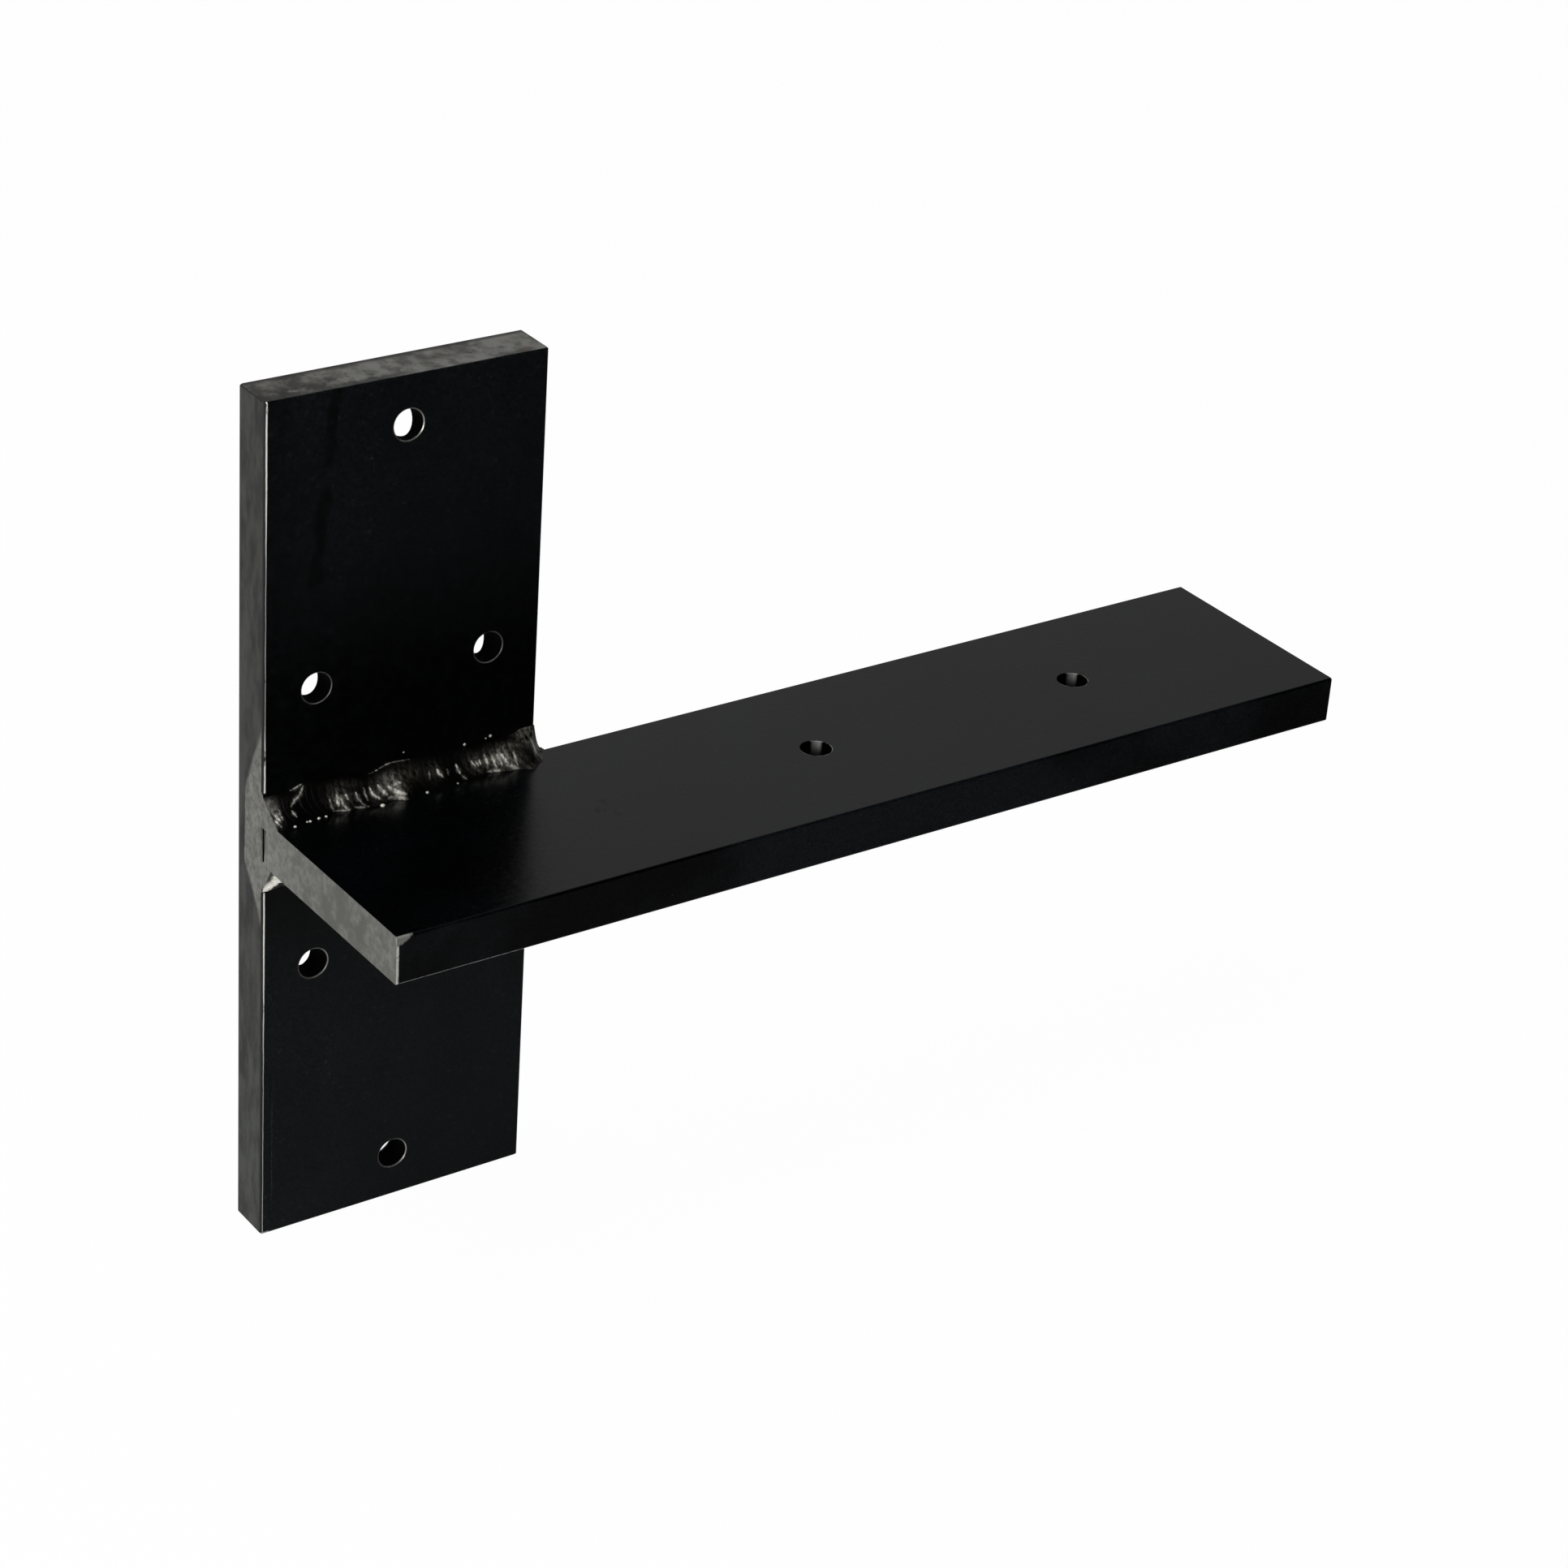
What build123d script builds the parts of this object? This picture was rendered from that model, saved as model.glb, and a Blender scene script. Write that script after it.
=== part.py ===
from build123d import *
import math
import os

# A floating shelf bracket welded from two lengths of hot-rolled flat bar. The wall plate
# stands upright. The shelf arm lies level, with one long edge welded to the plate's front
# at half height, and reaches out past the plate's right side.
#
# Frame: the origin is the centre of the plate's back face. +X runs along the arm, -Y points
# out from the plate's front, and +Z is up. Sizes are in millimetres.

INCH = 25.4

# Wall plate
PLATE_WIDTH = 3 * INCH
PLATE_THICKNESS = 0.5 * INCH
PLATE_HEIGHT = 9 * INCH
PLATE_EDGE_RADIUS = 0.8  # the rolled corners along its length
PLATE_END_BREAK = 0.4  # the dressed edges of its sawn ends

# Shelf arm
ARM_LENGTH = 11.25 * INCH
ARM_WIDTH = 2.5 * INCH
ARM_THICKNESS = 0.5 * INCH
ARM_EDGE_RADIUS = 0.6
ARM_END_BREAK = 0.5  # on the free end only, as the welded end is ground flush

# Screw holes through the plate
WALL_BORE = 5 / 16 * INCH
END_HOLE_INSET = 0.5 * INCH  # from the plate's top and bottom ends
SIDE_HOLE_INSET = 9 / 16 * INCH  # from the plate's long edges
SIDE_HOLE_SPACING = 3 * INCH  # from the upper pair down to the lower pair
BORE_EDGE_BREAK = 0.22

# Each screw hole opens out into a cone at the plate's back, sunk by hand to its own depth and
# a little below the bore's axis
CONE_HALF_ANGLE = 41
TOP_CONE_DEPTH = 7.5
TOP_CONE_DROP = 2.0
UPPER_LEFT_CONE_DEPTH = 6.1
UPPER_LEFT_CONE_DROP = 1.4
UPPER_RIGHT_CONE_DEPTH = 4.3
UPPER_RIGHT_CONE_DROP = 2.5
LOWER_LEFT_CONE_DEPTH = 4.1
LOWER_LEFT_CONE_DROP = 1.6
LOWER_RIGHT_CONE_DEPTH = 4.3
LOWER_RIGHT_CONE_DROP = 1.6
BOTTOM_CONE_DEPTH = 4.9
BOTTOM_CONE_DROP = 0.5

# Holes through the arm, on its centreline
ARM_BORE = 5 / 16 * INCH
ARM_HOLE_FROM_FREE_END = 2.5 * INCH
ARM_HOLE_SPACING = 3.25 * INCH

# The joint: the arm stands off the plate by a small root gap, which the welds bridge
ROOT_GAP = 0.8
UPPER_LEG_ON_PLATE = 6.3
UPPER_LEG_ON_ARM = 6.2
UPPER_PENETRATION = 2.6  # how far weld metal fills the gap below the arm's top
LOWER_LEG_ON_PLATE = 6.8
LOWER_LEG_ON_ARM = 8.2
LOWER_PENETRATION = 0.9
BEAD_CROWN = 1.0  # the bead's bulge beyond a straight line from toe to toe
BEAD_RUN_ON = 2.4  # how far it flows past the plate's right edge
BEAD_TAPER = 2.8  # the length over which that end dies away
BEAD_HOLLOW = 1.6  # over 1, that end dies away in a hollow curve
BEAD_BLUNTNESS = 0.12  # the share of the taper at which it stops
SWELL_LENGTH = 13.0  # from one swelling of the bead to the next
SWELL_HEIGHT = 0.6
UPPER_SWELL_START = 4.9  # radians into a swelling at the left end
LOWER_SWELL_START = 2.2
RIPPLE_PITCH = 2.4
RIPPLE_HEIGHT = 0.22
CUT_MARGIN = 1.0  # how far a cutter passes through a face

ARM_TOP = ARM_THICKNESS / 2
ARM_LEFT = -PLATE_WIDTH / 2  # flush with the plate's left edge
ARM_BACK = -PLATE_THICKNESS - ROOT_GAP


def drill(bore, thickness):
    """A cutter along +Z from zero to thickness, which breaks the edge at both its ends."""
    radius = bore / 2
    flare = radius + BORE_EDGE_BREAK + CUT_MARGIN
    profile = Polyline(
        (0, -CUT_MARGIN),
        (flare, -CUT_MARGIN),
        (radius, BORE_EDGE_BREAK),
        (radius, thickness - BORE_EDGE_BREAK),
        (flare, thickness + CUT_MARGIN),
        (0, thickness + CUT_MARGIN),
        close=True,
    )
    return revolve(Plane.XZ * make_face(profile), axis=Axis.Z)


def countersink(depth):
    """A pointed cutter along +Z from zero, as wide as the screw bore once it is depth deep."""
    spread = math.tan(math.radians(CONE_HALF_ANGLE))
    length = CUT_MARGIN + depth + WALL_BORE / 2 / spread
    point_up = (Align.CENTER, Align.CENTER, Align.MIN)
    return Pos(0, 0, -CUT_MARGIN) * Cone(length * spread, 0, length, align=point_up)


def wall_hole_places():
    """Where each screw hole is on the plate, with its cone's depth and drop."""
    side_x = PLATE_WIDTH / 2 - SIDE_HOLE_INSET
    side_z = SIDE_HOLE_SPACING / 2
    end_z = PLATE_HEIGHT / 2 - END_HOLE_INSET
    return [
        (0, end_z, TOP_CONE_DEPTH, TOP_CONE_DROP),
        (-side_x, side_z, UPPER_LEFT_CONE_DEPTH, UPPER_LEFT_CONE_DROP),
        (side_x, side_z, UPPER_RIGHT_CONE_DEPTH, UPPER_RIGHT_CONE_DROP),
        (-side_x, -side_z, LOWER_LEFT_CONE_DEPTH, LOWER_LEFT_CONE_DROP),
        (side_x, -side_z, LOWER_RIGHT_CONE_DEPTH, LOWER_RIGHT_CONE_DROP),
        (0, -end_z, BOTTOM_CONE_DEPTH, BOTTOM_CONE_DROP),
    ]


def wall_plate():
    """The upright bar, with its six screw holes."""
    plate = Pos(0, -PLATE_THICKNESS / 2, 0) * Box(PLATE_WIDTH, PLATE_THICKNESS, PLATE_HEIGHT)
    plate = fillet(plate.edges().filter_by(Axis.Z), PLATE_EDGE_RADIUS)
    plate = chamfer(plate.faces().filter_by(Axis.Z).edges(), PLATE_END_BREAK)

    # the left corner stays square where it is ground flush with the arm and the beads
    joint_top = ARM_TOP + UPPER_LEG_ON_PLATE
    joint_bottom = -ARM_TOP - LOWER_LEG_ON_PLATE
    from_corner = (Align.MIN, Align.MIN, Align.MIN)
    corner = Box(PLATE_EDGE_RADIUS, PLATE_EDGE_RADIUS, joint_top - joint_bottom, align=from_corner)
    plate += Pos(ARM_LEFT, -PLATE_THICKNESS, joint_bottom) * corner

    for x, z, cone_depth, cone_drop in wall_hole_places():
        plate -= Plane.XZ.location * Pos(x, z, 0) * drill(WALL_BORE, PLATE_THICKNESS)
        plate -= Plane.XZ.location * Pos(x, z - cone_drop, 0) * countersink(cone_depth)
    return plate


def shelf_arm():
    """The level bar, with two holes on its centreline."""
    arm = Box(ARM_LENGTH, ARM_WIDTH, ARM_THICKNESS, align=(Align.MIN, Align.MAX, Align.CENTER))
    arm = fillet(arm.edges().filter_by(Axis.X), ARM_EDGE_RADIUS)
    arm = chamfer(arm.faces().sort_by(Axis.X)[-1].edges(), ARM_END_BREAK)
    arm = Pos(ARM_LEFT, ARM_BACK, 0) * arm

    outer_x = ARM_LEFT + ARM_LENGTH - ARM_HOLE_FROM_FREE_END
    for x in (outer_x, outer_x - ARM_HOLE_SPACING):
        arm -= Pos(x, ARM_BACK - ARM_WIDTH / 2, -ARM_TOP) * drill(ARM_BORE, ARM_THICKNESS)
    return arm


def bead_section(x, side, leg_on_plate, leg_on_arm, crown):
    """The bead cut across at x: two straight legs and a bulging face from toe to toe."""
    root = Vector(x, -PLATE_THICKNESS, side * ARM_TOP)
    plate_toe = root + Vector(0, 0, side * leg_on_plate)
    arm_toe = root - Vector(0, leg_on_arm, 0)
    outward = Vector(0, -leg_on_plate, side * leg_on_arm).normalized()
    middle = (plate_toe + arm_toe) / 2 + outward * crown
    return Wire([Line(root, plate_toe), ThreePointArc(plate_toe, middle, arm_toe), Line(arm_toe, root)])


def end_fade(x, right):
    """The share of the bead's full section left at x."""
    left_over = max((right - x) / BEAD_TAPER, BEAD_BLUNTNESS)
    return min(1, left_over) ** BEAD_HOLLOW


def weld_bead(side, leg_on_plate, leg_on_arm, penetration, swell_start):
    """One fillet weld before the bars are cut from it: side is 1 above the arm, -1 below it."""
    left = ARM_LEFT
    right = PLATE_WIDTH / 2 + BEAD_RUN_ON
    steps = 2 * round((right - left) / RIPPLE_PITCH)
    sections = []
    for i in range(steps + 1):
        x = left + (right - left) * i / steps
        swell = SWELL_HEIGHT * math.sin(2 * math.pi * (x - left) / SWELL_LENGTH + swell_start)
        ripple = RIPPLE_HEIGHT * (1 if i % 2 else -1)
        fade = end_fade(x, right)
        on_plate = (leg_on_plate + swell / 2) * fade
        on_arm = (ROOT_GAP + leg_on_arm + swell) * fade
        sections.append(bead_section(x, side, on_plate, on_arm, (BEAD_CROWN + swell / 2 + ripple) * fade))
    bead = Solid.make_loft(sections, ruled=True)

    # weld metal drawn into the root gap, and round the arm's rolled corner
    root_depth = ROOT_GAP + ARM_EDGE_RADIUS
    root_height = max(penetration, ARM_EDGE_RADIUS)
    towards_arm = Align.MAX if side > 0 else Align.MIN
    root = Box(PLATE_WIDTH, root_depth, root_height, align=(Align.MIN, Align.MAX, towards_arm))
    return bead + Pos(left, -PLATE_THICKNESS, side * ARM_TOP) * root


def main():
    plate = wall_plate()
    arm = shelf_arm()
    upper = weld_bead(1, UPPER_LEG_ON_PLATE, UPPER_LEG_ON_ARM, UPPER_PENETRATION, UPPER_SWELL_START)
    lower = weld_bead(-1, LOWER_LEG_ON_PLATE, LOWER_LEG_ON_ARM, LOWER_PENETRATION, LOWER_SWELL_START)
    parts = {
        "wall_plate": plate,
        "shelf_arm": arm,
        "upper_weld_bead": upper - arm - plate,
        "lower_weld_bead": lower - arm - plate,
    }
    os.makedirs("parts", exist_ok=True)
    for name, shape in parts.items():
        export_step(shape, f"parts/{name}.step")


main()
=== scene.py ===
import math
import random

import bmesh
import bpy
from mathutils import Matrix, Vector, noise


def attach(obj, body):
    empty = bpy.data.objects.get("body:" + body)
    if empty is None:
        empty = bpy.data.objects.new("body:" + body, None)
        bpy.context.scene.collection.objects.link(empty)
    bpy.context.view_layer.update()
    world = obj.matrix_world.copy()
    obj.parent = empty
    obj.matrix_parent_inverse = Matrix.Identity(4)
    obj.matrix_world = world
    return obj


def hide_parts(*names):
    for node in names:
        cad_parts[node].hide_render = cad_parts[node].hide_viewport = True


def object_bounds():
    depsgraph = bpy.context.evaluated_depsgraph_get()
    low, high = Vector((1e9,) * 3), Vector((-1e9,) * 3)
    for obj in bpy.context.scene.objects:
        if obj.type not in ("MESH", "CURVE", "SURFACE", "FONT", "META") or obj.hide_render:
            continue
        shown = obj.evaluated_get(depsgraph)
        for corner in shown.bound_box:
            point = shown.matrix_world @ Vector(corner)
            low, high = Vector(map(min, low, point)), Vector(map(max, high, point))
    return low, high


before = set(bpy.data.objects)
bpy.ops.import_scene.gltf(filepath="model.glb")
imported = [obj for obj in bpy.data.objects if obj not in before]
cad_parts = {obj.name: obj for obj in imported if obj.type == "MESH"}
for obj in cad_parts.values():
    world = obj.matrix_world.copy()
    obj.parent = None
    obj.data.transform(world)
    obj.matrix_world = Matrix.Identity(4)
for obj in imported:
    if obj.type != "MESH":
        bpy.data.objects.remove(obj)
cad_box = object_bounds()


# Wall plate: a 9 in length of 3 x 1/2 in hot-rolled flat bar, drilled for six screws.
# Its broad faces keep the black scale of the rolling mill. Its sawn ends and left edge are
# dull grey, and the left edge is ground bright where the arm is welded on.

MM = 0.001

# where the plate's faces and holes are, in mm
LEFT_EDGE = -38.1
PLATE_FRONT = -12.7
PLATE_END = 114.3  # from its middle up to its top, and down to its foot
SIDE_HOLE_X, SIDE_HOLE_Z = 23.8125, 38.1
END_HOLE_Z = 101.6
RIM_RADIUS, RIM_HALF_WIDTH = 4.12, 0.20  # the rubbed line on a hole's broken edge

SCALE_IOR = 1.5
JET_SCALE = (0.0003, 0.0004, 0.0006)
SOOTY_SCALE = (0.0036, 0.0044, 0.0060)
BLUE_SCALE = (0.0072, 0.0100, 0.0122)
GREY_SPECK = (0.035, 0.040, 0.044)
TURN_SCALE = (0.004, 0.004, 0.004)
DUST = (0.10, 0.10, 0.10)
GREY_EDGE = (0.001, 0.001, 0.0008), (0.034, 0.0335, 0.031)  # dark and light mottles
GREEN_EDGE = (0.004, 0.006, 0.003), (0.044, 0.047, 0.042)
BACK_CORNER = (0.05, 0.05, 0.048)
BROWN_CUT = (0.026, 0.025, 0.022), (0.110, 0.107, 0.096)
PALE_CUT = (0.050, 0.049, 0.044), (0.138, 0.137, 0.128)
RUST = (0.030, 0.020, 0.015)
PIT = (0.004, 0.004, 0.004)
DARK_CUT_BACK = (0.012, 0.011, 0.010)
DARK_CUT_FRONT = (0.010, 0.010, 0.009)
DARK_GROUND = (0.180, 0.182, 0.162)
GROUND_STEEL = (0.358, 0.361, 0.328)
DULL_GROUND = (0.165, 0.166, 0.147)
# painted shade along the plate's side of the slit
PLATE_SLIT_SHADE = (0.008, 0.008, 0.008)
# worn steel on the plate's front left corner, painted brighter as its highlight
WORN_STEEL_HIGHLIGHT = (0.92, 0.91, 0.85)
RUBBED_RIM = (0.62, 0.61, 0.57)
# near-black painted on the bore walls as their shade
BORE_SHADE = (0.003, 0.003, 0.003)
DRILL_TURN = (0.012, 0.012, 0.012)


def start_finish(name, **settings):
    """A new material with one shader, whose own sockets hold the settings."""
    finish = bpy.data.materials.new(name)
    finish.use_nodes = True
    shader = finish.node_tree.nodes["Principled BSDF"]
    for socket, value in settings.items():
        shader.inputs[socket.replace("_", " ")].default_value = value
    return finish, finish.node_tree, shader


def feed(tree, socket, value):
    """Links a socket to another, or sets its number or colour."""
    if isinstance(value, bpy.types.NodeSocket):
        tree.links.new(value, socket)
    else:
        socket.default_value = value


def sums(tree, operation, *values):
    """One Math node on numbers and sockets."""
    node = tree.nodes.new("ShaderNodeMath")
    node.operation = operation
    for socket, value in zip(node.inputs, values):
        feed(tree, socket, value)
    return node.outputs[0]


def share(tree, value, none_at, all_at):
    """0 where value is at none_at, 1 where it is at all_at, and a smooth change between."""
    node = tree.nodes.new("ShaderNodeMapRange")
    node.interpolation_type = "SMOOTHSTEP"
    feed(tree, node.inputs["Value"], value)
    node.inputs["From Min"].default_value = none_at
    node.inputs["From Max"].default_value = all_at
    return node.outputs["Result"]


def spread(tree, part, low, high):
    """A share from 0 to 1, spread over low to high."""
    node = tree.nodes.new("ShaderNodeMapRange")
    feed(tree, node.inputs["Value"], part)
    node.inputs["To Min"].default_value = low
    node.inputs["To Max"].default_value = high
    return node.outputs["Result"]


def tint(tree, part, first, second):
    """The first colour turning into the second as part goes from 0 to 1."""
    node = tree.nodes.new("ShaderNodeMix")
    node.data_type = "RGBA"
    feed(tree, node.inputs[0], part)
    for socket, colour in ((node.inputs[6], first), (node.inputs[7], second)):
        feed(tree, socket, colour if isinstance(colour, bpy.types.NodeSocket) else (*colour, 1))
    return node.outputs[2]


def both(tree, *parts):
    """The product of several shares."""
    result = parts[0]
    for part in parts[1:]:
        result = sums(tree, "MULTIPLY", result, part)
    return result


def either(tree, *parts):
    """The largest of several shares."""
    result = parts[0]
    for part in parts[1:]:
        result = sums(tree, "MAXIMUM", result, part)
    return result


def less(tree, part):
    """What is left of 1."""
    return sums(tree, "SUBTRACT", 1.0, part)


def places(tree):
    """Where a point of the piece is, in millimetres: the whole vector, then x, y and z."""
    where = tree.nodes.new("ShaderNodeTexCoord").outputs["Object"]
    scaled = tree.nodes.new("ShaderNodeVectorMath")
    scaled.operation = "SCALE"
    scaled.inputs["Scale"].default_value = 1 / MM
    feed(tree, scaled.inputs[0], where)
    split = tree.nodes.new("ShaderNodeSeparateXYZ")
    feed(tree, split.inputs[0], scaled.outputs[0])
    return scaled.outputs[0], *split.outputs


def distance(tree, across, along):
    """How far a point is from the one that across and along are measured from."""
    squares = [sums(tree, "POWER", side, 2.0) for side in (across, along)]
    return sums(tree, "SQRT", sums(tree, "ADD", *squares))


def band(tree, value, centre, half_width):
    """1 near centre, fading to 0 at half_width from it."""
    off = sums(tree, "ABSOLUTE", sums(tree, "SUBTRACT", value, centre))
    return share(tree, off, half_width, half_width * 0.5)


def clouds(tree, place, size, detail=3.0, stretch=(1, 1, 1), shift=0.0, rough=0.5):
    """Soft blotches of about that size in millimetres, drawn out by stretch along x, y and z."""
    mapping = tree.nodes.new("ShaderNodeMapping")
    feed(tree, mapping.inputs["Vector"], place)
    mapping.inputs["Location"].default_value = (shift, shift * 0.7, shift * 1.3)
    mapping.inputs["Scale"].default_value = tuple(1 / (size * s) for s in stretch)
    blotches = tree.nodes.new("ShaderNodeTexNoise")
    feed(tree, blotches.inputs["Vector"], mapping.outputs[0])
    blotches.inputs["Scale"].default_value = 1.0
    blotches.inputs["Detail"].default_value = detail
    blotches.inputs["Roughness"].default_value = rough
    return blotches.outputs[0]


def patches(tree, place, size, none_at, all_at, **how):
    """0 where such clouds are as thin as none_at, 1 where they are as thick as all_at."""
    return share(tree, clouds(tree, place, size, **how), none_at, all_at)


def wavering(tree, value, pattern, reach):
    """The value, moved up to reach either way as a pattern goes from 0 to 1."""
    return sums(tree, "ADD", value, spread(tree, pattern, -reach, reach))


def fill_shader(tree, shader, colour, metal, rough, relief, depth):
    """Feeds the shader. The relief, which is 0 to 1, dents the surface by depth in mm."""
    feed(tree, shader.inputs["Base Color"], colour)
    feed(tree, shader.inputs["Metallic"], metal)
    feed(tree, shader.inputs["Roughness"], rough)
    bump = tree.nodes.new("ShaderNodeBump")
    bump.inputs["Strength"].default_value = 1.0
    bump.inputs["Distance"].default_value = depth * MM
    feed(tree, bump.inputs["Height"], relief)
    tree.links.new(bump.outputs[0], shader.inputs["Normal"])


def ground_steel(tree, place, y):
    """Bare steel as the grinder left it, carried on from piece to piece across the joint."""
    grain = patches(tree, place, 1.5, 0.32, 0.68, detail=7, stretch=(1, 1.1, 1.25), rough=0.66,
                    shift=3)
    steel = tint(tree, grain, DARK_GROUND, GROUND_STEEL)
    blotches = patches(tree, place, 6, 0.40, 0.62, detail=5, shift=71)
    along_arm = share(tree, y, -18, -36)
    near_tip = share(tree, y, -62, -74)
    dull = both(tree, along_arm, spread(tree, near_tip, 1.0, 0.55))
    return tint(tree, both(tree, either(tree, blotches, 0.35), dull), steel, DULL_GROUND)


def plate_scale(tree, place, x, z, fine, grit):
    """Mill scale: blue-black towards the foot, greyer at the top, jet black round the joint."""
    low_down = share(tree, z, 0, -62)
    high_up = share(tree, z, 34, 78)
    blue = either(tree, low_down, both(tree, high_up, 0.48))
    broad = patches(tree, place, 24, 0.34, 0.62, detail=5, stretch=(1, 1, 1.7))
    blue = both(tree, blue, spread(tree, broad, 0.62, 1.0))
    speckle = patches(tree, place, 0.8, 0.32, 0.68, detail=4, rough=0.7, shift=17)
    blue = both(tree, blue, spread(tree, speckle, 0.05, 1.75))
    by_left_edge = share(tree, wavering(tree, x, fine, 4.0), -27, -35)
    margin = both(tree, by_left_edge, share(tree, z, 10, 40))
    blue = both(tree, blue, less(tree, both(tree, margin, 0.55)))

    # one dark run down from the top, leaning and broken once, and an old round stain over the
    # upper left hole
    middle = sums(tree, "MULTIPLY_ADD", sums(tree, "SUBTRACT", z, 70.0), 0.10, -24.0)
    middle = wavering(tree, middle, clouds(tree, place, 7, detail=4, shift=61), 2.4)
    run = band(tree, sums(tree, "SUBTRACT", x, middle), 0.0, 2.1)
    run = both(tree, run, share(tree, z, 62, 66))
    run = both(tree, run, either(tree, share(tree, z, 94, 96), share(tree, z, 91, 89)))
    from_stain = distance(tree, sums(tree, "ADD", x, 22.6), sums(tree, "SUBTRACT", z, 49.6))
    stain = band(tree, from_stain, 0.0, 2.9)
    blue = both(tree, blue, less(tree, both(tree, either(tree, run, stain), 0.9)))

    sooty = patches(tree, place, 3.5, 0.44, 0.68, detail=6, rough=0.75, shift=18)
    upper_left = both(tree, share(tree, x, -12, -30), share(tree, z, 5, 12))
    sooty = both(tree, sooty, spread(tree, upper_left, 0.6, 1.0))
    colour = tint(tree, blue, tint(tree, sooty, JET_SCALE, SOOTY_SCALE), BLUE_SCALE)
    specks = patches(tree, place, 1.3, 0.60, 0.72, detail=3, rough=0.65, shift=23)
    colour = tint(tree, both(tree, specks, spread(tree, blue, 0.10, 0.55)), colour, GREY_SPECK)

    # a hairline scratch beside the left corner, low down, and pale dust
    scratch = both(tree, band(tree, x, -35.1, 0.16), band(tree, z, -90.0, 20.0),
                   share(tree, grit, 0.4, 0.55))
    dust = patches(tree, place, 1.0, 0.80, 0.84, detail=1, shift=83)
    return tint(tree, either(tree, both(tree, scratch, 0.35), both(tree, dust, 0.12)), colour, DUST)


def dull_edge(tree, place, z):
    """The long edge's mottled grey, greener towards the foot."""
    worn = patches(tree, place, 4, 0.36, 0.66, detail=6, stretch=(1, 1, 3.0), rough=0.62, shift=5)
    low_down = share(tree, z, 10, -70)
    return tint(tree, low_down, tint(tree, worn, *GREY_EDGE), tint(tree, worn, *GREEN_EDGE))


def sawn_end(tree, place, x, y):
    """Mottled brown and grey, with a dark back edge, a few black pits and a dark front left."""
    mottled = patches(tree, place, 6, 0.36, 0.62, detail=7, rough=0.66, shift=11)
    to_right = share(tree, x, -28, -4)
    cut = tint(tree, to_right, tint(tree, mottled, *BROWN_CUT), tint(tree, mottled, *PALE_CUT))
    rust = patches(tree, place, 5, 0.56, 0.72, detail=4, shift=44)
    cut = tint(tree, both(tree, rust, 0.6), cut, RUST)
    pits = patches(tree, place, 1.8, 0.62, 0.70, detail=3, shift=52)
    cut = tint(tree, both(tree, pits, band(tree, x, -16, 9.0)), cut, PIT)
    back = share(tree, y, -2.6, -1.0)
    cut = tint(tree, both(tree, back, 0.8), cut, DARK_CUT_BACK)
    front = share(tree, wavering(tree, y, mottled, 1.5), -8.5, -11.0)
    return tint(tree, both(tree, front, share(tree, x, 6, -6), 0.7), cut, DARK_CUT_FRONT)


def ground_zone(tree, place, y, z, on_left):
    """Where the left edge is ground with the arm's end, with a wavy border towards the back."""
    wave = clouds(tree, place, 9, detail=6, stretch=(1, 1, 1.5), rough=0.6, shift=21)
    wave = spread(tree, wave, -4.0, 4.0)
    top = sums(tree, "ADD", sums(tree, "MULTIPLY_ADD", y, 2.4, z), wave)
    foot = sums(tree, "ADD", sums(tree, "MULTIPLY_ADD", y, -1.6, z), wave)
    back = sums(tree, "MULTIPLY_ADD", wave, 0.28, y)
    return both(tree, on_left, share(tree, top, 3, -2), share(tree, foot, -5.5, -2),
                share(tree, back, -3.3, -3.9))


def rubbed_corner_and_highlight(tree, x, y, z, nicks, joint):
    """The bright line down the front left corner, worn steel painted brighter as its highlight,
    strongest at the top and beside the joint.
    """
    above = both(tree, share(tree, z, 34, 18), share(tree, z, 0, 10))
    below = both(tree, share(tree, z, -75, -25), share(tree, z, 0, -10), 0.9)
    strong = either(tree, share(tree, z, 66, 96), above, below)
    half_width = spread(tree, strong, 0.13, 0.24)
    off = sums(tree, "ABSOLUTE", wavering(tree, sums(tree, "ADD", x, 37.58), nicks, 0.10))
    line = both(tree, share(tree, sums(tree, "SUBTRACT", off, half_width), 0.0, -0.12),
                share(tree, y, PLATE_FRONT + 0.45, PLATE_FRONT + 0.3))
    line = both(tree, line, less(tree, joint), share(tree, nicks, 0.28, 0.38),
                spread(tree, strong, 0.55, 1.0))
    chip = both(tree, band(tree, x, -36.8, 1.3), share(tree, z, 0.9 - PLATE_END, 0.4 - PLATE_END),
                share(tree, y, PLATE_FRONT + 0.7, PLATE_FRONT + 0.3))
    return either(tree, line, both(tree, chip, 0.6))


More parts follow.
